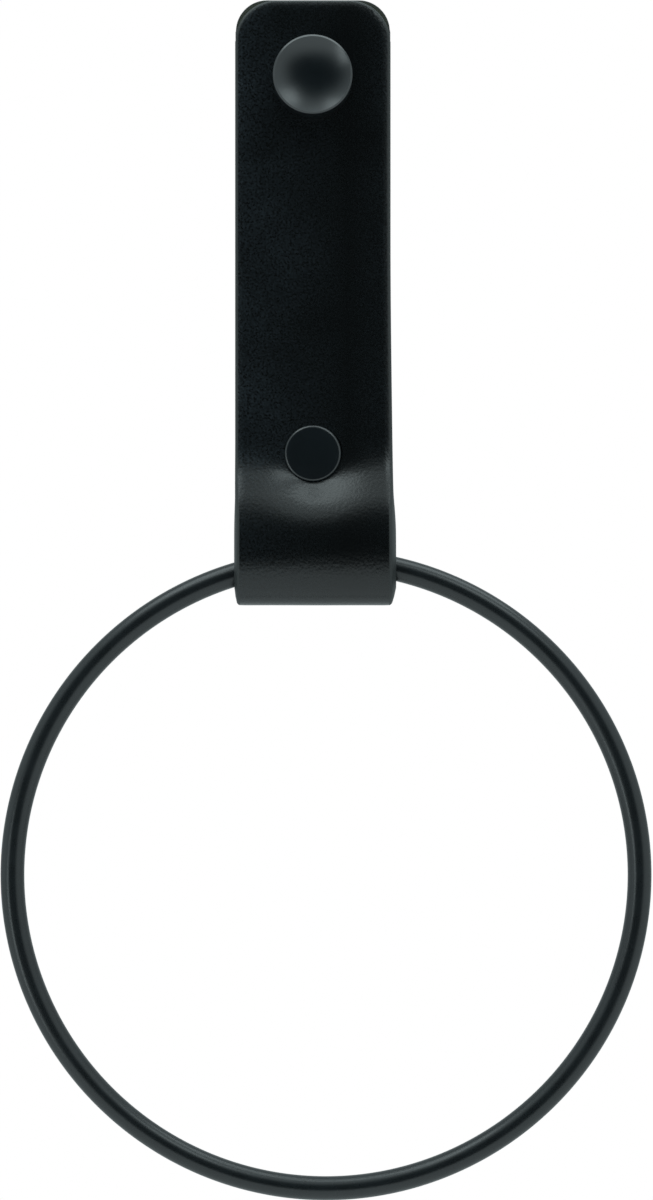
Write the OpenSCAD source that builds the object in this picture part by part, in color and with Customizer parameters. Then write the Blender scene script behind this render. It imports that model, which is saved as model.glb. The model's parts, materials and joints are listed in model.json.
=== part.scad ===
// Wall-hung towel ring: a leather strap folded round a steel ring, riveted under the fold's
// start and fixed to the wall by one hanger bolt with a dished knob.
// Millimetres. +Z is up, +X is to the right and the front faces -Y. The wall's face is Y = 0,
// and the origin is on the bolt's axis at the wall.

/* [Strap] */
// Width of the leather strip
strap_w = 40; // [30:1:60]
// Thickness of the leather
leather_t = 4.5; // [3:0.1:6]
// Height of the folded strap, from its top edge to the bottom of its loop
strap_h = 156.7; // [135:0.1:220]
// Distance from the strap's top edge down to the bolt
bolt_inset = 20.7; // [14:0.1:30]
// Radius of the corners at the strip's rear end
rear_corner_r = 8; // [3:0.5:14]
// Radius of the corners at the strip's front end
front_corner_r = 10.5; // [3:0.5:14]
// Air between the two layers of leather
layer_gap = 0.2; // [0.1:0.1:0.6]

/* [Loop] */
// Length of the straight slope between the loop's front bend and the hollow bend under the rivet
slope_l = 14.9; // [8:0.1:30]
// Radius of the hollow bend under the rivet, on the leather's front
hollow_r = 3; // [2:0.5:8]

/* [Ring] */
// Outer diameter of the ring
ring_d = 168.6; // [140:0.1:220]
// Diameter of the ring's rod
rod_d = 6.2; // [4:0.1:8]
// How far the ring hangs to the right of the strap's middle
ring_shift = 3.4; // [-6:0.1:6]
// Room between the swinging rod and the loop
ring_play = 0.3; // [0.2:0.1:1]

/* [Knob] */
// Diameter of the knob
knob_d = 20.4; // [16:0.1:28]
// Height of the knob off the strap
knob_h = 11; // [9:0.5:16]
// Depth of the dish in the knob's face
dish_depth = 3; // [0.5:0.1:3.2]
// Width of the flat rim round the dish
rim_w = 0.1; // [0.1:0.1:1.5]
// Rounding of the knob's front edge
knob_round = 0.3; // [0.2:0.1:1.5]
// Rounding of the knob's edge on the leather
foot_round = 0.4; // [0.2:0.1:1]
// Depth of the knob's threaded hole
knob_hole = 6.5; // [5:0.1:7]

/* [Hanger bolt] */
// Diameter of the machine thread that takes the knob
machine_d = 4; // [3:0.5:5]
// Chamfer on the machine thread's end
machine_chamfer = 0.5; // [0.2:0.1:1]
// Diameter of the plain waist between the two threads
waist_d = 3.4; // [2.5:0.1:4]
// Length of the plain waist, ending at the wall
waist_l = 2; // [1:0.5:4]
// Diameter of the wood thread in the wall
wood_d = 4; // [3:0.5:6]
// Length of the wood thread, without its point
wood_l = 29; // [20:1:60]
// Length of the wood thread's point
point_l = 6; // [4:0.5:10]

/* [Rivet] */
// Diameter of the rivet's two caps
cap_d = 14.5; // [10:0.5:18]
// Height of a cap
cap_h = 1.6; // [1.5:0.1:2.4]
// Rounding of a cap's edge
cap_round = 0.6; // [0.3:0.1:0.8]
// Thickness of a cap's sheet metal
cap_sheet = 0.4; // [0.3:0.05:0.5]
// Width of the lip that is crimped under a cap
lip_w = 1.4; // [0.8:0.1:2]
// Thickness of the flanges inside the caps
flange_t = 0.4; // [0.3:0.05:0.5]
// Diameter of the rivet's post
post_d = 3.6; // [2.5:0.1:4.5]
// How much wider the post's flattened tip is than the post, on the radius
tip_extra = 0.8; // [0.4:0.1:1.2]
// Wall of the socket's tube
tube_wall = 0.45; // [0.3:0.05:0.7]
// Leather between the rivet's lower edge and the loop's start
rivet_margin = 0.2; // [0.1:0.05:6]
// How deep the front cap is pressed into the leather
front_sink = 0.9; // [0.2:0.1:1.2]
// How far the back cap is pressed below the leather's back
back_sink = 0.1; // [0.05:0.05:0.5]

/* [Fits] */
// Play of the leather round the bolt and the rivet, on the radius
hole_play = 0.1; // [0.05:0.01:0.3]
// Play between metal pieces that are screwed or crimped together
metal_play = 0.03; // [0.01:0.01:0.06]

/* [Hidden] */
$fn = 96;
// Overlap that lets a cut run past the face it starts from
cut = 1;
// Turn of the leather from one flat of a bend to the next
bend_step = 4;

// Depths are measured from the wall towards the room, heights from the bolt.
strap_front = 2 * leather_t + layer_gap;
strap_middle = strap_front / 2;
strap_top = bolt_inset;
strap_bottom = bolt_inset - strap_h;

// Inside the loop the rod is highest at the ring's top and falls away to the strap's edges,
// because the ring is round. The ring swings about the line through its top.
ring_r = (ring_d - rod_d) / 2;
rod_reach = strap_w / 2 + abs(ring_shift);
rod_fall = ring_r - sqrt(pow(ring_r, 2) - pow(rod_reach, 2));
rod_slant = asin(rod_reach / ring_r);
rod_sweep = rod_fall + rod_d / 2 / cos(rod_slant);
swing_depth = leather_t + ring_play + rod_d / 2;
swing_height = strap_bottom + leather_t + ring_play + rod_sweep;
ring_height = swing_height - ring_r;

// The rear bend takes the leather from the wall to under the rod, and the front bend carries it
// on round the swinging rod.
rear_r = swing_depth - leather_t;
rear_height = strap_bottom + leather_t + rear_r;
front_r = rod_sweep + ring_play;

// Hollow bend, tangent to the strap's front layer and to the straight slope.
hollow_depth = strap_front + hollow_r;
bend_span = front_r + leather_t + hollow_r;
hollow_side = hollow_depth - swing_depth;
hollow_rise = sqrt(pow(bend_span, 2) + pow(slope_l, 2) - pow(hollow_side, 2));
hollow_height = swing_height + hollow_rise;
slope_angle = atan2(hollow_rise, hollow_side) - atan2(slope_l, bend_span);

rivet_height = hollow_height + rivet_margin + cap_d / 2;
front_seat = strap_front - front_sink;
back_seat = back_sink + cap_h;
flange_r = cap_d / 2 - cap_sheet - metal_play;
tube_r = post_d / 2 + metal_play;
flange_top = cap_sheet + flange_t;
tip_t = cap_h - cap_sheet - flange_top - metal_play;

dish_r = knob_d / 2 - knob_round - rim_w;
dish_ball_r = (pow(dish_r, 2) + pow(dish_depth, 2)) / (2 * dish_depth);
bolt_end = strap_front + knob_hole - machine_chamfer;

leather_black = "#191a1c";
coat_black = "#222326";
zinc = "#a9abad";

// Turns a shape's height into depth from the wall.
module off_wall() {
  rotate([90, 0, 0])
    children();
}

// Puts a shape on the rivet's axis.
module at_rivet() {
  translate([0, 0, rivet_height])
    off_wall()
      children();
}

// Points along one bend of the leather in the strap's side view. A bend that follows another
// skips the point that they share.
function bend(depth, height, r, from, to, skip = 0) =
  let (steps = ceil(abs(to - from) / bend_step))
  [for (i = [skip:steps])
    let (a = from + (to - from) * i / steps)
    [depth + r * cos(a), height + r * sin(a)]];

// The folded strip seen from its side, with depth to the right: down the back of the rear
// layer, round the loop's outside, up the front, and back down the inside.
module fold() {
  hollow_end = 180 + slope_angle;
  polygon(concat(
    [[0, strap_top]],
    bend(swing_depth, rear_height, rear_r + leather_t, 180, 270),
    bend(swing_depth, swing_height, front_r + leather_t, -90, slope_angle, 1),
    bend(hollow_depth, hollow_height, hollow_r, hollow_end, 180),
    [[strap_front, strap_top], [strap_front - leather_t, strap_top]],
    bend(hollow_depth, hollow_height, hollow_r + leather_t, 180, hollow_end),
    bend(swing_depth, swing_height, front_r, slope_angle, -90),
    bend(swing_depth, rear_height, rear_r, 270, 180, 1),
    [[leather_t, strap_top]]
  ));
}

// What comes off one top corner of one layer, between two depths.
module corner_waste(r, from, to) {
  translate([strap_w / 2 - r, 0, strap_top - r])
    off_wall()
      translate([0, 0, from])
        linear_extrude(to - from)
          difference() {
            square(r + cut);
            circle(r);
          }
}

module strap() {
  color(leather_black)
    difference() {
      rotate([90, 0, -90])
        linear_extrude(strap_w, center = true)
          fold();
      for (side = [0, 1])
        mirror([side, 0, 0]) {
          corner_waste(rear_corner_r, -cut, strap_middle);
          corner_waste(front_corner_r, strap_middle, strap_front + cut);
        }
      off_wall()
        translate([0, 0, -cut])
          cylinder(r = machine_d / 2 + hole_play, h = strap_front + 2 * cut);
      at_rivet() {
        translate([0, 0, -cut])
          cylinder(r = tube_r + tube_wall + hole_play, h = strap_front + 2 * cut);
        translate([0, 0, -cut])
          cylinder(r = cap_d / 2 + hole_play, h = back_seat + cut);
        translate([0, 0, front_seat])
          cylinder(r = cap_d / 2 + hole_play, h = front_sink + cut);
      }
    }
}

module ring() {
  color(coat_black)
    translate([ring_shift, -swing_depth, ring_height])
      off_wall()
        rotate_extrude()
          translate([ring_r, 0])
            circle(d = rod_d);
}

// Half of the knob's section, with its foot on the leather.
module knob_half() {
  knob_r = knob_d / 2;
  difference() {
    union() {
      translate([0, foot_round])
        square([knob_r, knob_h - foot_round - knob_round]);
      square([knob_r - foot_round, knob_h]);
      square([knob_r - knob_round, knob_h]);
      translate([knob_r - knob_round, knob_h - knob_round])
        circle(knob_round);
      translate([knob_r - foot_round, foot_round])
        circle(foot_round);
    }
    translate([0, knob_h - dish_depth + dish_ball_r])
      circle(dish_ball_r);
    square([machine_d / 2 + metal_play, knob_hole]);
    translate([-knob_d, -cut])
      square([knob_d, knob_h + 2 * cut]);
  }
}

module knob() {
  color(coat_black)
    off_wall()
      translate([0, 0, strap_front])
        rotate_extrude()
          knob_half();
}

module hanger_bolt() {
  machine_r = machine_d / 2;
  color(zinc)
    off_wall() {
      cylinder(d = waist_d, h = waist_l);
      translate([0, 0, waist_l])
        cylinder(r = machine_r, h = bolt_end - machine_chamfer - waist_l);
      translate([0, 0, bolt_end - machine_chamfer])
        cylinder(r1 = machine_r, r2 = machine_r - machine_chamfer, h = machine_chamfer);
      translate([0, 0, -wood_l])
        cylinder(d = wood_d, h = wood_l);
      translate([0, 0, -wood_l - point_l])
        cylinder(d1 = 0, d2 = wood_d, h = point_l);
    }
}

// A pressed cap with its lip turned in, standing on its seat.
module cap() {
  cap_r = cap_d / 2;
  rotate_extrude()
    difference() {
      union() {
        square([cap_r, cap_h - cap_round]);
        square([cap_r - cap_round, cap_h]);
        translate([cap_r - cap_round, cap_h - cap_round])
          circle(cap_round);
      }
      translate([0, cap_sheet])
        square([cap_r - cap_sheet, cap_h - 2 * cap_sheet]);
      translate([0, -cut])
        square([cap_r - lip_w, cut + cap_h / 2]);
    }
}

module rivet_front_cap() {
  color(coat_black)
    at_rivet()
      translate([0, 0, front_seat])
        cap();
}

module rivet_back_cap() {
  color(coat_black)
    at_rivet()
      translate([0, 0, back_seat])
        mirror([0, 0, 1])
          cap();
}

// Tube with a flange that the front cap is crimped on.
module rivet_socket() {
  outer_r = tube_r + tube_wall;
  tube_foot = back_seat - cap_sheet + metal_play;
  color(zinc)
    at_rivet()
      rotate_extrude() {
        translate([tube_r, tube_foot])
          square([tube_wall, front_seat + flange_top - tube_foot]);
        translate([outer_r, front_seat + cap_sheet])
          square([flange_r - outer_r, flange_t]);
      }
}

// Post with a flange in the back cap and a tip flattened over the socket's flange.
module rivet_post() {
  tip_foot = front_seat + flange_top;
  flange_foot = back_seat - flange_top;
  color(zinc)
    at_rivet()
      rotate_extrude() {
        translate([0, flange_foot])
          square([flange_r, flange_t]);
        translate([0, flange_foot])
          square([post_d / 2, tip_foot - flange_foot + tip_t]);
        translate([0, tip_foot])
          square([post_d / 2 + tip_extra, tip_t]);
      }
}

strap();
ring();
knob();
hanger_bolt();
rivet_front_cap();
rivet_back_cap();
rivet_socket();
rivet_post();
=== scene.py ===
import cmath
import json
import math

import bmesh
import bpy
from mathutils import Matrix, Vector, noise


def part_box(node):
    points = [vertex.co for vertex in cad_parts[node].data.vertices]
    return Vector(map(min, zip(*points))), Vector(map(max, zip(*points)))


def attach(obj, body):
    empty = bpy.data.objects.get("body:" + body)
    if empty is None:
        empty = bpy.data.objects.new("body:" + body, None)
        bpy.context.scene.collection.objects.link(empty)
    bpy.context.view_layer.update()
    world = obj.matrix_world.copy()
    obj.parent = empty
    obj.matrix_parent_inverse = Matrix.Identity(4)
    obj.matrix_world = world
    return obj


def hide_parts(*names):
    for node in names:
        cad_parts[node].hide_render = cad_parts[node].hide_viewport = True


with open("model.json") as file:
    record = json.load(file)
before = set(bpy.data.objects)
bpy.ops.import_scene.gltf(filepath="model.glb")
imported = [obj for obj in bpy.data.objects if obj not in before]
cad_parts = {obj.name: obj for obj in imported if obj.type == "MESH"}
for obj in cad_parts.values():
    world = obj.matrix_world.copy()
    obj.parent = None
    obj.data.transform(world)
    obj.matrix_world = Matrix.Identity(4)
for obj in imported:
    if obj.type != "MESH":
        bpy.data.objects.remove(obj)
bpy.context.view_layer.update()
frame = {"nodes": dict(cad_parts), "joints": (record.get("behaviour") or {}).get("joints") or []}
mm = 0.001            # settings are in millimetres, the frame is in metres
near = 1e-6           # metres; points this near count as one
fullTurn = math.tau
print("frame loaded:", ", ".join(sorted(frame["nodes"])))


def linear(hexColour):
    shares = [int(hexColour[i:i + 2], 16) / 255 for i in (1, 3, 5)]
    return [s / 12.92 if s <= 0.04045 else ((s + 0.055) / 1.055) ** 2.4 for s in shares] + [1.0]


def perMm(size):
    return 1 / (size * mm)  # texture scale that gives a pattern of this size


def smooth(low, high, value):
    share = min(1.0, max(0.0, (value - low) / (high - low)))
    return share * share * (3 - 2 * share)


def addNode(tree, kind, settings=None, links=None):
    node = tree.nodes.new("ShaderNode" + kind)
    for name, value in (settings or {}).items():
        if isinstance(name, str) and hasattr(node, name):
            setattr(node, name, value)
        else:
            node.inputs[name].default_value = value
    for name, socket in (links or {}).items():
        tree.links.new(socket, node.inputs[name])
    return node


def newMaterial(name, shaderSettings):
    material = bpy.data.materials.new(name)
    material.use_nodes = True
    tree = material.node_tree
    tree.nodes.clear()
    shader = addNode(tree, "BsdfPrincipled", shaderSettings)
    addNode(tree, "OutputMaterial", {}, {"Surface": shader.outputs["BSDF"]})
    return material, tree, shader


# Materials

leatherLook = {
    "dark": "#070a0b", "worn": "#323b41",      # dyed grain, and where it is rubbed
    "roughness": (0.27, 0.33), "shine": 0.44,
    "pebble": 0.75, "pebbleHeight": 0.034, "pebbleSoft": 0.6,
    "pore": 0.45, "poreHeight": 0.014,         # real pores are finer
    "speck": 0.55, "speckLevels": (0.34, 0.84),
    "cloud": 16.0, "cloudGain": 2.0,           # how specks gather; the noise lies about one half
    # rubbed least a little right of the middle, more towards the right edge and most at the left
    "leastRubbed": 9.0, "edgeAt": 20.0, "rubbed": (0.08, 0.35, 1.0),
    "shadedFoldShare": 0.4, "shadedFoldTo": (186.0, 200.0),  # painted shade: up to here less rubbed grey, so the fold is darker; mm along the strip
}


# Full-grain leather, dyed black, pressed and waxed: near black, a soft broad shine that
# breaks up on small pebbles, and rubbed patches that are a little greyer and duller; the fold gets
# less of that grey as painted shade.
def grainLeather():
    look = leatherLook
    material, tree, shader = newMaterial("blackGrainLeather", {"Specular IOR Level": look["shine"]})
    flat = addNode(tree, "Attribute", {"attribute_name": "flat"}).outputs["Vector"]
    pebble = addNode(tree, "TexVoronoi", {"feature": "SMOOTH_F1", "Scale": perMm(look["pebble"]),
                                          "Smoothness": look["pebbleSoft"]}, {"Vector": flat})
    speck = addNode(tree, "TexNoise", {"Scale": perMm(look["speck"]), "Detail": 2.0},
                    {"Vector": flat})
    specks = addNode(tree, "MapRange", {"From Min": look["speckLevels"][0],
                                        "From Max": look["speckLevels"][1]},
                     {"Value": speck.outputs["Fac"]})
    cloud = addNode(tree, "TexNoise", {"Scale": perMm(look["cloud"]), "Detail": 2.0},
                    {"Vector": flat})
    across, along, _ = addNode(tree, "SeparateXYZ", {}, {"Vector": flat}).outputs
    least, right, left = look["rubbed"]
    sides = []
    for edgeAt, most in ((look["edgeAt"], right), (-look["edgeAt"], left)):
        towards = addNode(tree, "MapRange", {"From Min": look["leastRubbed"] * mm, "To Min": least,
                                             "From Max": edgeAt * mm, "To Max": most},
                          {"Value": across})
        sides.append(towards.outputs["Result"])
    side = addNode(tree, "Math", {"operation": "MAXIMUM"}, {0: sides[0], 1: sides[1]})
    share = addNode(tree, "Math", {"operation": "MULTIPLY"},
                    {0: side.outputs["Value"], 1: cloud.outputs["Fac"]})
    # painted shade: the strip up to the fold's front gets less of the rubbed grey, so the fold is
    # darker
    foldEnd, flatStart = look["shadedFoldTo"]
    gain = look["cloudGain"]
    flats = addNode(tree, "MapRange", {"From Min": foldEnd * mm, "To Min": look["shadedFoldShare"] * gain,
                                       "From Max": flatStart * mm, "To Max": gain},
                    {"Value": along})
    share = addNode(tree, "Math", {"operation": "MULTIPLY"},
                    {0: share.outputs["Value"], 1: flats.outputs["Result"]})
    # real wear, times the painted shade of the fold
    wearAndFoldShade = addNode(tree, "Math", {"operation": "MULTIPLY"},
                   {0: specks.outputs["Result"], 1: share.outputs["Value"]})
    colour = addNode(tree, "Mix", {"data_type": "RGBA", 6: linear(look["dark"]),
                                   7: linear(look["worn"])}, {0: wearAndFoldShade.outputs["Value"]})
    rough = addNode(tree, "MapRange", {"To Min": look["roughness"][0],
                                       "To Max": look["roughness"][1]},
                    {"Value": wearAndFoldShade.outputs["Value"]})
    pore = addNode(tree, "TexNoise", {"Scale": perMm(look["pore"]), "Detail": 2.0},
                   {"Vector": flat})
    pebbleBump = addNode(tree, "Bump", {"Distance": look["pebbleHeight"] * mm, "invert": True},
                         {"Height": pebble.outputs["Distance"]})
    poreBump = addNode(tree, "Bump", {"Distance": look["poreHeight"] * mm},
                       {"Height": pore.outputs["Fac"], "Normal": pebbleBump.outputs["Normal"]})
    tree.links.new(colour.outputs[2], shader.inputs["Base Color"])
    tree.links.new(rough.outputs["Result"], shader.inputs["Roughness"])
    tree.links.new(poreBump.outputs["Normal"], shader.inputs["Normal"])
    return material


edgeLook = {
    "dark": "#141819", "pale": "#282e2e", "roughness": 0.55,
    "fibre": 0.35, "fibreRun": 5.0,            # fibres across and along the cut, mm
    "fibreHeight": 0.015,
}


# The strip's cut edge, slicked with wax: greyer than the grain, fibres run along it.
def burnishedEdge():
    look = edgeLook
    material, tree, shader = newMaterial("burnishedLeatherEdge", {"Roughness": look["roughness"]})
    flat = addNode(tree, "Attribute", {"attribute_name": "flat"})
    stretch = addNode(tree, "Mapping", {"Scale": (perMm(look["fibre"]), perMm(look["fibreRun"]),
                                                  perMm(look["fibre"]))},
                      {"Vector": flat.outputs["Vector"]})
    fibre = addNode(tree, "TexNoise", {"Scale": 1.0, "Detail": 4.0},
                    {"Vector": stretch.outputs["Vector"]})
    colour = addNode(tree, "Mix", {"data_type": "RGBA", 6: linear(look["dark"]),
                                   7: linear(look["pale"])}, {0: fibre.outputs["Fac"]})
    bump = addNode(tree, "Bump", {"Distance": look["fibreHeight"] * mm},
                   {"Height": fibre.outputs["Fac"]})
    tree.links.new(colour.outputs[2], shader.inputs["Base Color"])
    tree.links.new(bump.outputs["Normal"], shader.inputs["Normal"])
    return material


fleshLook = {
    "dark": "#3c3f36", "pale": "#555950", "roughness": 0.88, "shine": 0.25,
    "nap": 0.5, "napHeight": 0.08,             # short loose fibres, mm
}


# The inner, flesh side: dyed through, matt, with a short nap.
def fleshLeather():
    look = fleshLook
    material, tree, shader = newMaterial("blackLeatherFlesh", {"Roughness": look["roughness"],
                                                               "Specular IOR Level": look["shine"]})
    flat = addNode(tree, "Attribute", {"attribute_name": "flat"})
    nap = addNode(tree, "TexNoise", {"Scale": perMm(look["nap"]), "Detail": 5.0, "Roughness": 0.7},
                  {"Vector": flat.outputs["Vector"]})
    colour = addNode(tree, "Mix", {"data_type": "RGBA", 6: linear(look["dark"]),
                                   7: linear(look["pale"])}, {0: nap.outputs["Fac"]})
    bump = addNode(tree, "Bump", {"Distance": look["napHeight"] * mm},
                   {"Height": nap.outputs["Fac"]})
    tree.links.new(colour.outputs[2], shader.inputs["Base Color"])
    tree.links.new(bump.outputs["Normal"], shader.inputs["Normal"])
    return material


coatLook = {
    "powder": {"name": "satinBlackPowderCoat", "black": "#171b1d", "dust": "#23292c",
               "roughness": (0.24, 0.31), "shine": 0.45, "peel": 0.45, "peelHeight": 0.003},
    "lacquer": {"name": "satinBlackLacquer", "black": "#0a1115", "dust": "#101a1f",
                "roughness": (0.26, 0.31), "shine": 0.7, "peel": 0.6, "peelHeight": 0.002},
    "haze": 6.0,                               # dust and handling marks, mm
}


# Baked satin black, even and softly shiny. The ring's powder has a very fine orange peel; the
# lacquer on the knob and the caps is thinner, darker and smoother, with a stronger shine.
def blackCoat(kind):
    look = coatLook | coatLook[kind]
    material, tree, shader = newMaterial(look["name"], {"Specular IOR Level": look["shine"]})
    place = addNode(tree, "TexCoord").outputs["Object"]
    haze = addNode(tree, "TexNoise", {"Scale": perMm(look["haze"]), "Detail": 4.0},
                   {"Vector": place})
    colour = addNode(tree, "Mix", {"data_type": "RGBA", 6: linear(look["black"]),
                                   7: linear(look["dust"])}, {0: haze.outputs["Fac"]})
    rough = addNode(tree, "MapRange", {"To Min": look["roughness"][0],
                                       "To Max": look["roughness"][1]},
                    {"Value": haze.outputs["Fac"]})
    peel = addNode(tree, "TexNoise", {"Scale": perMm(look["peel"]), "Detail": 1.0},
                   {"Vector": place})
    bump = addNode(tree, "Bump", {"Distance": look["peelHeight"] * mm},
                   {"Height": peel.outputs["Fac"]})
    tree.links.new(colour.outputs[2], shader.inputs["Base Color"])
    tree.links.new(rough.outputs["Result"], shader.inputs["Roughness"])
    tree.links.new(bump.outputs["Normal"], shader.inputs["Normal"])
    return material


zincLook = {
    "bright": "#c3c5c6", "dull": "#9a9da0",
    "roughness": (0.24, 0.42),
    "spangle": 1.6,                            # cloudiness of the passivated zinc, mm
}


# Rolled steel with bright zinc plate: cool silver, slightly cloudy.
def zincPlate():
    look = zincLook
    material, tree, shader = newMaterial("brightZincPlate", {"Metallic": 1.0})
    place = addNode(tree, "TexCoord").outputs["Object"]
    cloud = addNode(tree, "TexNoise", {"Scale": perMm(look["spangle"]), "Detail": 5.0},
                    {"Vector": place})
    colour = addNode(tree, "Mix", {"data_type": "RGBA", 6: linear(look["bright"]),
                                   7: linear(look["dull"])}, {0: cloud.outputs["Fac"]})
    rough = addNode(tree, "MapRange", {"To Min": look["roughness"][0],
                                       "To Max": look["roughness"][1]},
                    {"Value": cloud.outputs["Fac"]})
    tree.links.new(colour.outputs[2], shader.inputs["Base Color"])
    tree.links.new(rough.outputs["Result"], shader.inputs["Roughness"])
    return material


grain, edge, flesh = grainLeather(), burnishedEdge(), fleshLeather()
powder, lacquer, zinc = blackCoat("powder"), blackCoat("lacquer"), zincPlate()
print("materials made")


# Shared by the pieces

def makePiece(name, bm, materials, body, node, sharp=35):
    mesh = bpy.data.meshes.new(name)
    bm.to_mesh(mesh)
    bm.free()
    for material in materials:
        mesh.materials.append(material)
    mesh.shade_smooth()
    mesh.set_sharp_from_angle(angle=math.radians(sharp))
    piece = bpy.data.objects.new(name, mesh)
    bpy.context.scene.collection.objects.link(piece)
    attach(piece, body)
    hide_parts(node)
    print(name, "made,", len(mesh.polygons), "faces")


# Turns a closed outline of (radius, depth, rounding) about an axis along Y. Depth runs from
# the seat in the facing direction.
def turned(outline, seat, facing, steps=96, roundSteps=5):
    bm = bmesh.new()
    corners = [bm.verts.new(seat + Vector((r * mm, facing * d * mm, 0))) for r, d, _ in outline]
    bm.faces.new(corners)
    for corner, (_, _, rounding) in zip(corners, outline):
        if rounding:
            bmesh.ops.bevel(bm, geom=[corner], offset=rounding * mm, segments=roundSteps,
                            profile=0.5, affect="VERTICES", material=-1)
    bmesh.ops.delete(bm, geom=bm.faces[:], context="FACES_ONLY")
    onAxis = [e for e in bm.edges if all(abs(v.co.x - seat.x) < near for v in e.verts)]
    bmesh.ops.delete(bm, geom=onAxis, context="EDGES")
    bmesh.ops.spin(bm, geom=bm.verts[:] + bm.edges[:], cent=seat, axis=(0, 1, 0), angle=fullTurn,
                   steps=steps, use_merge=True)
    bmesh.ops.remove_doubles(bm, verts=bm.verts[:], dist=near)
    bmesh.ops.recalc_face_normals(bm, faces=bm.faces[:])
    return bm


def centreOf(node):
    low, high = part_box(node)
    return (low + high) / 2


# Strap

strapLook = {
    "leather": 4.5, "layerGap": 0.2,           # as in the solids
    "belly": 15.5,                             # height of the foremost line above the bottom
    "bellyStart": 20.0,                        # where the front begins, degrees below the level
    "brow": 30.0,                              # radius of the front above the foremost line
    "hollow": 24.0,                            # radius where the front layer leaves the rear one
    "parting": -5.0,                           # and how far below the rivet's centre it does
    "dimple": 18.0, "dimpleRise": 4,           # the rivet holds the leather in, this far round
    "dimpleFrom": 20.0,                        # on the front layer, this far past the fold's start
    "rearCorner": 8.1, "frontCorner": 10.6, "cornerSteps": 14,
    "rearRise": 0.55, "frontDrop": 0.05,       # the two ends aren't quite level
    "grainRound": 0.6, "fleshRound": 0.3, "edgeSteps": 4,
    "roll": 0.55, "rollWidth": 2.8,            # the grain side falls off towards the cut edge
    "rollCuts": (0.45, 0.6, 0.8),              # slices there, as shares of that width
    "bulge": 0.15,                             # slicked edges are full in the middle
    "straightStep": 1.5, "acrossStep": 0.9,
    "bendStep": 0.5, "bendMargin": 6.0,        # finer slices in the fold and this far past it
    "boltHole": 2.1, "rivetHole": 2.38,
    "recess": 7.3, "rearRecess": 1.7, "frontRecess": 0.9,
    "evenWidth": 2.5, "evenRounds": 6,         # faces this far round a hole are evened out
    # a bent strip narrows outside and spreads inside, left and right; it begins to past the
    # fold's start, and leaves off on the way to the rivet
    "grainDrawIn": 0.6, "fleshSpread": (0.3, 0.75), "bentPast": 12.0, "bentUntil": (22.0, 4.0),
    "drift": 0.85, "driftFrom": (-40.0, -136.0),  # the fold isn't quite square
    "slant": 0.06, "slantFrom": (20.0, 42.0),  # and stands out more on the right
    "wave": 0.07, "waveLength": 17.0,
    "pressed": 14.0,                           # under and round the knob there are no waves
}


def strapPath():
    look = strapLook
    low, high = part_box("strap")
    swing = Vector(next(j for j in frame["joints"] if j["name"] == "ring_swing")["pos_m"]) / mm
    thick = look["leather"]
    bottom, rearTop = low.z / mm, high.z / mm + look["rearRise"]
    frontTop = high.z / mm - look["frontDrop"]
    belly, brow, hollow, parting = (look[k] for k in ("belly", "brow", "hollow", "parting"))
    start = math.radians(look["bellyStart"])
    loop = -swing.y - thick                    # the bottom bend's inside
    lower = (belly - loop - thick) / math.sin(start)
    foremost = -swing.y + loop + thick + lower * (1 - math.cos(start))
    span = brow + hollow
    side = 2 * thick + look["layerGap"] + hollow + brow - foremost
    rise = centreOf("rivet_front_cap").z / mm - parting - bottom - belly
    slope = math.sqrt(side ** 2 + rise ** 2 - span ** 2)
    lean = math.atan2(rise, side) - math.atan2(slope, span)
    half = thick / 2
    turns = [  # how far it runs along the strip's middle, and how sharply it bends there
        (rearTop - bottom - thick - loop, 0.0),
        ((math.pi - start) * (loop + half), 1 / (loop + half)),
        (start * (loop + lower + half), 1 / (loop + lower + half)),
        (lean * (brow - half), 1 / (brow - half)),
        (slope, 0.0),
        (lean * (hollow + half), -1 / (hollow + half)),
        (frontTop - bottom - belly - rise, 0.0),
    ]
    return turns, complex(half, rearTop)


# Where a point of the flat strip lies once the strip is folded: across, along, and up from
# the flesh side. The plane of the fold is worked out in complex numbers, depth + height.
def foldPoint(across, along, up, path):
    turns, spot = path
    heading = -1j
    left = along
    for length, bend in turns:
        step = min(left, length) if (length, bend) != turns[-1] else left
        turnedBy = cmath.exp(1j * bend * step)
        spot += heading * (step if not bend else (turnedBy - 1) / (1j * bend))
        heading *= turnedBy
        left -= step
        if left <= 0:
            break
    spot -= 1j * heading * (up - strapLook["leather"] / 2)
    return Vector((across, -spot.real, spot.imag))


def onLevel(verts, level):
    return all(abs(v.co.z - level) < 1e-4 for v in verts)


# The flat blank in millimetres: cut, rounded at its corners, and its edges slicked round.
def flatBlank(half, length):
    look = strapLook
    bm = bmesh.new()
    corners = [bm.verts.new(c) for c in ((-half, 0, 0), (half, 0, 0),
                                         (half, length, 0), (-half, length, 0))]
    bm.faces.new(corners)
    for pair, radius in ((corners[:2], look["rearCorner"]), (corners[2:], look["frontCorner"])):
        bmesh.ops.bevel(bm, geom=pair, offset=radius, segments=look["cornerSteps"], profile=0.5,
                        affect="VERTICES", material=-1)
    raised = bmesh.ops.extrude_face_region(bm, geom=bm.faces[:], use_keep_orig=True)["geom"]
    bmesh.ops.translate(bm, verts=[g for g in raised if isinstance(g, bmesh.types.BMVert)],
                        vec=(0, 0, look["leather"]))
    bmesh.ops.recalc_face_normals(bm, faces=bm.faces[:])
    for level, rounding in ((look["leather"], look["grainRound"]), (0, look["fleshRound"])):
        rim = [e for e in bm.edges if onLevel(e.verts, level)]
        bmesh.ops.bevel(bm, geom=rim, offset=rounding, segments=look["edgeSteps"], profile=0.5,
                        affect="EDGES", material=-1)
    for f in bm.faces:  # 0 is the grain side, 1 the edge and 2 the flesh side
        f.material_index = 0 if f.normal.z > 0.99 else 2 if f.normal.z < -0.99 else 1
    return bm


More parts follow.
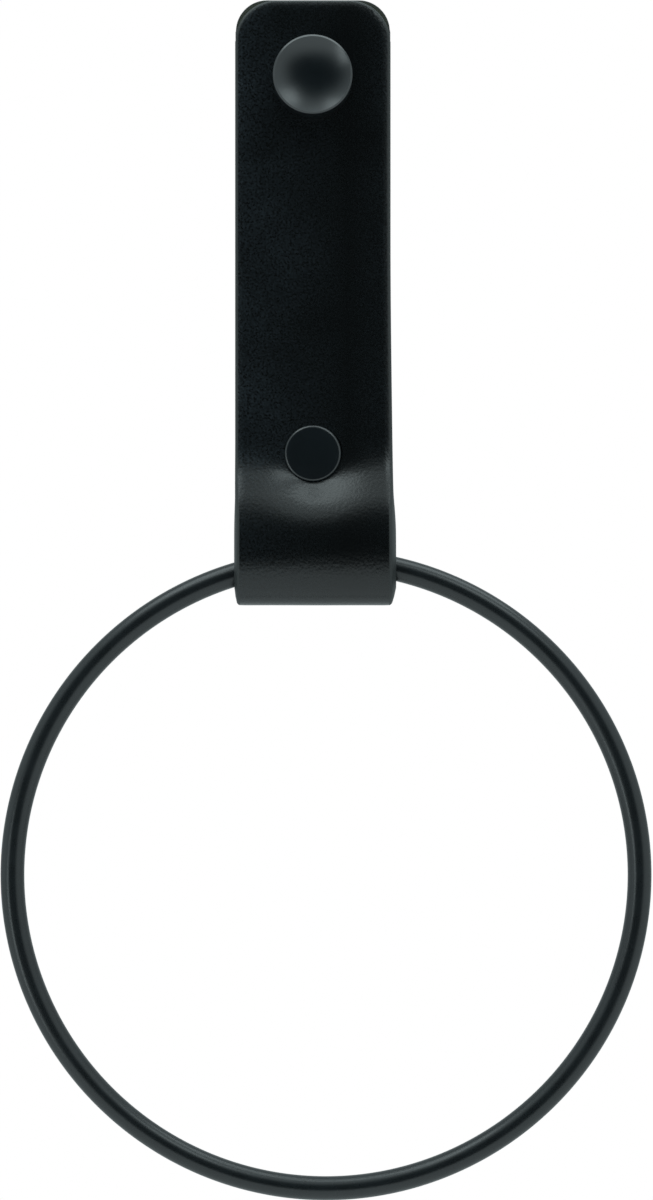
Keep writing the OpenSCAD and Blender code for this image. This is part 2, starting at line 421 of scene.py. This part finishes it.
# Sliced so that it can bend, finely where it does.
def sliceBlank(bm, half, length, bendStart, bendEnd):
    look = strapLook
    slices, at = [], look["straightStep"]
    while at < length:
        slices.append(at)
        at += look["bendStep"] if bendStart < at < bendEnd else look["straightStep"]
    count = round(half / look["acrossStep"])
    cuts = [((0, s, 0), (0, 1, 0)) for s in slices]
    cuts += [((half * i / count, 0, 0), (1, 0, 0)) for i in range(1 - count, count)]
    for share in look["rollCuts"]:
        inset = look["rollWidth"] * share
        cuts += [((s * (half - inset), 0, 0), (1, 0, 0)) for s in (-1, 1)]
        cuts += [((0, end, 0), (0, 1, 0)) for end in (inset, length - inset)]
    cuts.append(((0, 0, look["leather"] / 2), (0, 0, 1)))
    for spot, facing in cuts:
        bmesh.ops.bisect_plane(bm, geom=bm.verts[:] + bm.edges[:] + bm.faces[:], dist=1e-5,
                               plane_co=spot, plane_no=facing)


# Cuts a round hole or recess in one side of the flat strip and returns its rim.
def punch(bm, along, radius, level):
    def apart(v):
        return math.hypot(v.co.x, v.co.y - along)
    inside = [f for f in bm.faces if onLevel(f.verts, level)
              and any(apart(v) < radius for v in f.verts)]
    rim = [e for e in {e for f in inside for e in f.edges}
           if sum(f in inside for f in e.link_faces) == 1]
    bmesh.ops.delete(bm, geom=inside, context="FACES")
    for v in {v for e in rim for v in e.verts}:
        pull = radius / apart(v)
        v.co.x *= pull
        v.co.y = along + (v.co.y - along) * pull
    around = [v for v in bm.verts if onLevel([v], level)
              and radius + 0.01 < apart(v) < radius + strapLook["evenWidth"]]
    for _ in range(strapLook["evenRounds"]):
        bmesh.ops.smooth_vert(bm, verts=around, factor=0.5, use_axis_x=True, use_axis_y=True)
    return rim


# Holes for the bolt, and for the rivet with the recesses that its caps are pressed into.
def punchHoles(bm, bolts, rivets):
    look = strapLook
    thick = look["leather"]
    for along in bolts:
        rim = punch(bm, along, look["boltHole"], thick) + punch(bm, along, look["boltHole"], 0)
        bmesh.ops.bridge_loops(bm, edges=rim)
    for along, depth in zip(rivets, (look["rearRecess"], look["frontRecess"])):
        rim = punch(bm, along, look["recess"], thick)
        for sink, shrink in ((depth, 1.0), (0.0, look["rivetHole"] / look["recess"])):
            grown = bmesh.ops.extrude_edge_only(bm, edges=rim)["geom"]
            verts = [g for g in grown if isinstance(g, bmesh.types.BMVert)]
            rim = [g for g in grown if isinstance(g, bmesh.types.BMEdge)
                   and all(v in verts for v in g.verts)]
            bmesh.ops.translate(bm, verts=verts, vec=(0, 0, -sink))
            bmesh.ops.scale(bm, verts=verts, vec=(shrink, shrink, 1),
                            space=Matrix.Translation((0, -along, 0)))
        bmesh.ops.bridge_loops(bm, edges=rim + punch(bm, along, look["rivetHole"], 0))
    bmesh.ops.recalc_face_normals(bm, faces=bm.faces[:])


def leatherStrap():
    look = strapLook
    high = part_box("strap")[1]
    half, thick = high.x / mm, look["leather"]
    path = strapPath()
    length = sum(run for run, _ in path[0])
    rivetHeight = centreOf("rivet_front_cap").z / mm
    boltRear, boltFront = path[1].imag, length - high.z / mm + look["frontDrop"]
    rivetRear, rivetFront = boltRear - rivetHeight, boltFront + rivetHeight
    foldStart = path[0][0][0]
    bm = flatBlank(half, length)
    sliceBlank(bm, half, length, foldStart - look["bendMargin"], rivetFront + look["bendMargin"])
    punchHoles(bm, (boltRear, boltFront), (rivetRear, rivetFront))

    def fromEdge(across, along):
        corner = look["rearCorner"] if along < length / 2 else look["frontCorner"]
        fromSide, fromEnd = half - abs(across), min(along, length - along)
        if max(fromSide, fromEnd) < corner:
            return corner - math.hypot(corner - fromSide, corner - fromEnd)
        return min(fromSide, fromEnd)

    # folded round the ring
    flat = bm.verts.layers.float_vector.new("flat")
    for v in bm.verts:
        v[flat] = v.co * mm
        across, along, up = v.co
        level = up / thick                     # 0 on the flesh side, 1 on the grain side
        pastFold, toRivet = along - foldStart, rivetFront - along
        bent = smooth(0, look["bentPast"], pastFold) - smooth(*look["bentUntil"], toRivet)
        wave = look["wave"] * noise.noise(Vector((across, along, 0)) / look["waveLength"])
        if pastFold < 0 or math.hypot(across, along - boltFront) < look["pressed"]:
            wave = 0
        roll = look["roll"] * max(0.0, 1 - fromEdge(across, along) / look["rollWidth"]) ** 2
        spot = foldPoint(across, along, up + (wave - roll * (1 - bent)) * level, path)
        flatOn = -thick - look["layerGap"] - up  # where it would lie flat on the rear layer
        slant = look["slant"] * smooth(*look["slantFrom"], pastFold) * across / half
        spot.y -= (flatOn - spot.y) * slant
        if pastFold > look["dimpleFrom"]:
            fromCap = (math.hypot(across, spot.z - rivetHeight) - look["recess"]) / look["dimple"]
            held = (1 - min(1.0, max(0.0, fromCap))) ** look["dimpleRise"]
            spot.y += held * (flatOn - spot.y)
        spread = look["fleshSpread"][across > 0] * (1 - level) - look["grainDrawIn"] * level
        spot.x *= 1 + bent * spread / half
        if abs(across) > half - 0.01:
            spot.x += math.copysign(look["bulge"] * math.sin(math.pi * level), across)
        spot.x += look["drift"] * smooth(*look["driftFrom"], spot.z) * (0.5 + across / half / 2)
        v.co = spot * mm
    makePiece("foldedStrap", bm, [grain, edge, flesh], "strap", "strap", sharp=50)


leatherStrap()


# Ring

ringLook = {"rodSides": 40, "steps": 320}


def steelRing():
    low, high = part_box("ring")
    middle = centreOf("ring")
    rod = (high.y - low.y) / 2
    reach = (high.x - low.x) / 2 - rod
    bm = bmesh.new()
    bmesh.ops.create_circle(bm, segments=ringLook["rodSides"], radius=rod,
                            matrix=Matrix.Translation(middle + Vector((reach, 0, 0))))
    bmesh.ops.spin(bm, geom=bm.verts[:] + bm.edges[:], cent=middle, axis=(0, 1, 0), angle=fullTurn,
                   steps=ringLook["steps"], use_merge=True)
    bmesh.ops.recalc_face_normals(bm, faces=bm.faces[:])
    makePiece("steelRing", bm, [powder], "ring", "ring")


steelRing()


# Knob

knobLook = {
    "rim": (0.5, 0.4),                         # width and depth of the broken edge round the dish
    "edgeRound": 0.15, "footRound": 0.4, "steps": 128,
    "dish": 2.4, "dishSteps": 30,
    "hole": (2.03, 6.5),                       # radius and depth
}


def dishedKnob():
    look = knobLook
    low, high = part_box("knob")
    seat = Vector((0, high.y, 0))
    radius, height = high.x / mm, (high.y - low.y) / mm
    holeRadius, holeDepth = look["hole"]
    rimWidth, rimDepth = look["rim"]
    dishRadius = radius - rimWidth
    outline = [
        (holeRadius, 0, 0), (radius, 0, look["footRound"]),
        (radius, height - rimDepth, look["edgeRound"]), (dishRadius, height, 0),
        (0, height, 0), (0, holeDepth, 0), (holeRadius, holeDepth, 0),
    ]
    bm = turned(outline, seat, -1, steps=look["steps"])
    # the flat face is ringed with edges and then sunk to a shallow bowl
    face = [f for f in bm.faces if all(v.co.y < low.y + near for v in f.verts)]
    spokes = {e for f in face for e in f.edges if min(v.co.xz.length for v in e.verts) < near}
    bmesh.ops.subdivide_edges(bm, edges=list(spokes), cuts=look["dishSteps"], use_grid_fill=True)
    ball = (dishRadius ** 2 + look["dish"] ** 2) / (2 * look["dish"])
    for v in bm.verts:
        r = v.co.xz.length / mm
        if v.co.y < low.y + near and r < dishRadius:
            v.co.y += (math.sqrt(ball ** 2 - r ** 2) - (ball - look["dish"])) * mm
    bmesh.ops.recalc_face_normals(bm, faces=bm.faces[:])
    makePiece("dishedKnob", bm, [lacquer], "wall_fixing", "knob")


dishedKnob()


# Rivet

capLook = {"sheet": 0.4, "lip": 1.4, "edgeRound": 0.8, "innerRound": 0.2, "coat": 0.12}


def rivetCap(name, node, facing):
    look = capLook
    low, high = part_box(node)
    middle = centreOf(node)
    seat = Vector((middle.x, high.y if facing < 0 else low.y, middle.z))
    radius, height = (high.x - low.x) / 2 / mm + look["coat"], (high.y - low.y) / mm
    sheet, lip = look["sheet"], radius - look["lip"]
    outline = [
        (lip, 0, 0), (radius, 0, look["innerRound"]), (radius, height, look["edgeRound"]),
        (0, height, 0), (0, height - sheet, 0), (radius - sheet, height - sheet, look["innerRound"]),
        (radius - sheet, sheet, 0), (lip, sheet, 0),
    ]
    bm = turned(outline, seat, facing)
    makePiece(name, bm, [lacquer], "strap", node)


rivetCap("frontRivetCap", "rivet_front_cap", -1)
rivetCap("rearRivetCap", "rivet_back_cap", 1)
for node in ("rivet_socket", "rivet_post"):
    frame["nodes"][node].material_slots[0].material = zinc
print("rivet socket and post plated")


# Hanger bolt

boltLook = {
    # the M4 thread in the knob and the wood thread: radii, pitch, and widths of flank and crest
    "machine": {"crest": 2.0, "core": 1.58, "pitch": 0.7, "flank": 0.28, "flat": 0.08},
    "wood": {"crest": 2.0, "core": 1.35, "pitch": 1.8, "flank": 0.36, "flat": 0.08},
    "waist": (1.7, 2.0), "waistSlope": 0.35,   # radius, length, and the slope at each end
    "point": 6.0, "blunt": 0.1, "bluntShare": 0.02,
    "chamfer": 0.5, "steps": 28,
}


# One turn's outline is drawn and wound up the axis, then cut square at both ends.
def threadedRod(bm, thread, start, end):
    crest, core, pitch = thread["crest"], thread["core"], thread["pitch"]
    flank, flat = thread["flank"], thread["flat"]
    steps = boltLook["steps"]
    ridge = [(core, 0), (core, pitch - 2 * flank - flat), (crest, pitch - flank - flat),
             (crest, pitch - flank), (core, pitch)]
    verts = [bm.verts.new((r * mm, (start - pitch + y) * mm, 0)) for r, y in ridge]
    edges = [bm.edges.new(pair) for pair in zip(verts, verts[1:])]
    windings = math.ceil((end - start) / pitch) + 1
    before = set(bm.verts) - set(verts)
    bmesh.ops.spin(bm, geom=verts + edges, cent=(0, 0, 0), axis=(0, 1, 0), angle=fullTurn * windings,
                   steps=steps * windings, dvec=(0, pitch * mm / steps, 0))
    bmesh.ops.remove_doubles(bm, verts=[v for v in bm.verts if v not in before], dist=near)
    rims = []
    for level, side in ((start, -1), (end, 1)):
        own = {v for v in bm.verts if v not in before}
        geom = list(own)
        geom += [e for e in bm.edges if e.verts[0] in own]
        geom += [f for f in bm.faces if f.verts[0] in own]
        cut = bmesh.ops.bisect_plane(bm, geom=geom, dist=1e-8, plane_co=(0, level * mm, 0),
                                     plane_no=(0, side, 0), clear_outer=True)["geom_cut"]
        rims.append([g for g in cut if isinstance(g, bmesh.types.BMEdge)])
    return rims


def hangerBolt():
    look = boltLook
    low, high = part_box("hanger_bolt")
    front, tip = low.y / mm, high.y / mm
    waistRadius, waistLength = look["waist"]
    bm = bmesh.new()
    machineRims = threadedRod(bm, look["machine"], front, -waistLength)
    woodRims = threadedRod(bm, look["wood"], 0, tip - look["blunt"])
    waistRims = []
    for y in (look["waistSlope"] - waistLength, -look["waistSlope"]):
        place = Matrix.Translation((0, y * mm, 0)) @ Matrix.Rotation(math.pi / 2, 4, "X")
        ring = bmesh.ops.create_circle(bm, segments=look["steps"], radius=waistRadius * mm,
                                       matrix=place)
        waistRims.append(list({e for v in ring["verts"] for e in v.link_edges}))
    bmesh.ops.bridge_loops(bm, edges=waistRims[0] + waistRims[1])
    bmesh.ops.bridge_loops(bm, edges=machineRims[1] + waistRims[0])
    bmesh.ops.bridge_loops(bm, edges=waistRims[1] + woodRims[0])
    for v in bm.verts:
        toPoint = tip - v.co.y / mm
        toEnd = v.co.y / mm - front
        share = min(1.0, max(look["bluntShare"], toPoint / look["point"]))
        share *= 1 - max(0.0, look["chamfer"] - toEnd) / look["machine"]["crest"]
        v.co.x *= share
        v.co.z *= share
    bmesh.ops.holes_fill(bm, edges=[e for e in bm.edges if e.is_boundary], sides=0)
    bmesh.ops.recalc_face_normals(bm, faces=bm.faces[:])
    makePiece("hangerBolt", bm, [zinc], "wall_fixing", "hanger_bolt", sharp=28)


hangerBolt()


# Camera and light

cameraLook = {
    "at": (3.54, -1032.0, -134.60),            # level and square to the wall
    "focalPixels": 3955.0, "imageHeight": 1200.0, "sensor": 36.0,
}
lampLook = {
    "topSoftbox": {"at": (0, -50, 830), "aim": (-21, 48, -120), "size": (1660, 520), "watts": 6.1},
    "leftSoftbox": {"at": (-480, -540, 800), "aim": (0, 0, -100), "size": (460, 240), "watts": 0.8},
    "rightSoftbox": {"at": (530, -690, 670), "aim": (0, 0, 0), "size": (420, 380), "watts": 1.2},
    "sideStrip": {"at": (-700, -700, -440), "aim": (0, 0, -220), "size": (220, 640), "watts": 1.2},
}
coolLight = linear("#edfdff")                  # the light's slight cast, as shiny surfaces show it
plainWhite = linear("#ffffff")


def cameraAndLamps():
    scene = bpy.context.scene
    scene.view_settings.view_transform = "Standard"
    look = cameraLook
    camera = bpy.data.objects.new("camera", bpy.data.cameras.new("camera"))
    camera.data.sensor_width = look["sensor"]
    camera.data.lens = look["focalPixels"] * look["sensor"] / look["imageHeight"]
    camera.location = Vector(look["at"]) * mm
    camera.rotation_euler = (math.pi / 2, 0, 0)
    scene.collection.objects.link(camera)
    scene.camera = camera
    for name, box in lampLook.items():
        lamp = bpy.data.objects.new(name, bpy.data.lights.new(name, "AREA"))
        lamp.data.shape = "RECTANGLE"
        lamp.data.size, lamp.data.size_y = box["size"][0] * mm, box["size"][1] * mm
        lamp.data.energy = box["watts"]
        lamp.data.color = coolLight[:3]
        lamp.location = Vector(box["at"]) * mm
        towards = Vector(box["aim"]) - Vector(box["at"])
        lamp.rotation_euler = towards.to_track_quat("-Z", "Y").to_euler()
        scene.collection.objects.link(lamp)
    print("camera and lamps made")


cameraAndLamps()

studioLook = {
    "surround": 1.0, "ambient": 0.5, "dark": 0.03,
    "behind": 0.62, "behindFrom": (-0.1, 0.35),  # shiny surfaces see it dimmer past the object
    # the unlit camera side: how far it reaches to each side, in degrees, and how soft its edge is
    "darkRight": 39.0, "darkLeft": 54.0, "darkAbove": 46.0, "darkBelow": 25.0,
    "darkEdge": (1.2, 0.72),
}


# White all round, except for the unlit room on the camera's side. The camera sees plain white.
def whiteStudio():
    look = studioLook
    world = bpy.data.worlds.new("whiteStudio")
    bpy.context.scene.world = world
    world.use_nodes = True
    tree = world.node_tree
    tree.nodes.clear()
    ray = addNode(tree, "LightPath")
    way = addNode(tree, "TexCoord").outputs["Generated"]
    right, left, above, below = (1 / math.sin(math.radians(look["dark" + side]))
                                 for side in ("Right", "Left", "Above", "Below"))
    halves = []
    for scale in ((right, 0, above), (-left, 0, -below)):
        scaled = addNode(tree, "VectorMath", {"operation": "MULTIPLY", 1: scale}, {0: way})
        halves.append(addNode(tree, "VectorMath", {"operation": "MAXIMUM", 1: (0, 0, 0)},
                              {0: scaled.outputs["Vector"]}).outputs["Vector"])
    both = addNode(tree, "VectorMath", {"operation": "ADD"}, {0: halves[0], 1: halves[1]})
    apart = addNode(tree, "VectorMath", {"operation": "LENGTH"}, {0: both.outputs["Vector"]})
    soft = addNode(tree, "MapRange", {"interpolation_type": "SMOOTHSTEP",
                                      "From Min": look["darkEdge"][0],
                                      "From Max": look["darkEdge"][1]},
                   {"Value": apart.outputs["Value"]})
    depth = addNode(tree, "SeparateXYZ", {}, {"Vector": way})
    front = addNode(tree, "Math", {"operation": "LESS_THAN", 1: 0.0}, {0: depth.outputs["Y"]})
    unlit = addNode(tree, "Math", {"operation": "MULTIPLY"},
                    {0: front.outputs["Value"], 1: soft.outputs["Result"]})
    unlit = addNode(tree, "MapRange", {"To Min": look["surround"], "To Max": look["dark"]},
                    {"Value": unlit.outputs["Value"]})
    shiny = addNode(tree, "Math", {"operation": "MAXIMUM"},
                    {0: ray.outputs["Is Glossy Ray"], 1: ray.outputs["Is Transmission Ray"]})
    behind = addNode(tree, "MapRange", {"From Min": look["behindFrom"][0], "To Min": 1.0,
                                        "From Max": look["behindFrom"][1], "To Max": look["behind"]},
                     {"Value": depth.outputs["Y"]})
    level = addNode(tree, "Mix", {"data_type": "FLOAT", 2: look["ambient"]},
                    {0: shiny.outputs["Value"], 3: behind.outputs["Result"]})
    lit = addNode(tree, "Math", {"operation": "MULTIPLY"},
                  {0: unlit.outputs["Result"], 1: level.outputs[0]})
    strength = addNode(tree, "Mix", {"data_type": "FLOAT", 3: 1.0},
                       {0: ray.outputs["Is Camera Ray"], 2: lit.outputs["Value"]})
    tint = addNode(tree, "Mix", {"data_type": "RGBA", 6: coolLight, 7: plainWhite},
                   {0: ray.outputs["Is Camera Ray"]})
    white = addNode(tree, "Background", {}, {"Strength": strength.outputs[0],
                                             "Color": tint.outputs[2]})
    addNode(tree, "OutputWorld", {}, {"Surface": white.outputs["Background"]})
    print("studio made")


whiteStudio()

floorLook = {
    "height": -600.0, "radius": 1200.0, "steps": 96,
    "paint": "#faebe8", "roughness": 0.8,
    "glow": (1.15, 0.72), "glowFrom": (-100.0, 300.0),  # seen in shiny surfaces, front to back
    "fade": (250.0, 1120.0),                   # where the paint turns into the white
}


# Matt white paint. Shiny surfaces see it about as white as the studio, and the camera sees it
# fade into the white round its edge.
def whiteFloor():
    look = floorLook
    paint, tree, shader = newMaterial("mattWhiteFloorPaint", {"Base Color": linear(look["paint"]),
                                                              "Roughness": look["roughness"]})
    ray = addNode(tree, "LightPath")
    place = addNode(tree, "TexCoord").outputs["Object"]
    depth = addNode(tree, "SeparateXYZ", {}, {"Vector": place}).outputs["Y"]
    bright = addNode(tree, "MapRange", {"From Min": look["glowFrom"][0] * mm,
                                        "From Max": look["glowFrom"][1] * mm,
                                        "To Min": look["glow"][0], "To Max": look["glow"][1]},
                     {"Value": depth})
    glow = addNode(tree, "Emission", {"Color": coolLight}, {"Strength": bright.outputs["Result"]})
    both = addNode(tree, "MixShader", {}, {0: ray.outputs["Is Glossy Ray"],
                                           1: shader.outputs["BSDF"], 2: glow.outputs["Emission"]})
    apart = addNode(tree, "VectorMath", {"operation": "DISTANCE", 1: (0, 0, look["height"] * mm)},
                    {0: place})
    fade = addNode(tree, "MapRange", {"interpolation_type": "SMOOTHSTEP",
                                      "From Min": look["fade"][0] * mm,
                                      "From Max": look["fade"][1] * mm},
                   {"Value": apart.outputs["Value"]})
    fade = addNode(tree, "Math", {"operation": "MULTIPLY"},
                   {0: fade.outputs["Result"], 1: ray.outputs["Is Camera Ray"]})
    white = addNode(tree, "Emission", {"Color": plainWhite, "Strength": 1.0})
    seen = addNode(tree, "MixShader", {}, {0: fade.outputs["Value"], 1: both.outputs["Shader"],
                                           2: white.outputs["Emission"]})
    tree.links.new(seen.outputs["Shader"], tree.nodes["Material Output"].inputs["Surface"])
    bm = bmesh.new()
    bmesh.ops.create_circle(bm, cap_ends=True, segments=look["steps"], radius=look["radius"] * mm,
                            matrix=Matrix.Translation((0, 0, look["height"] * mm)))
    mesh = bpy.data.meshes.new("floor")
    bm.to_mesh(mesh)
    bm.free()
    mesh.materials.append(paint)
    floor = bpy.data.objects.new("floor", mesh)
    bpy.context.scene.collection.objects.link(floor)
    print("floor made")


whiteFloor()
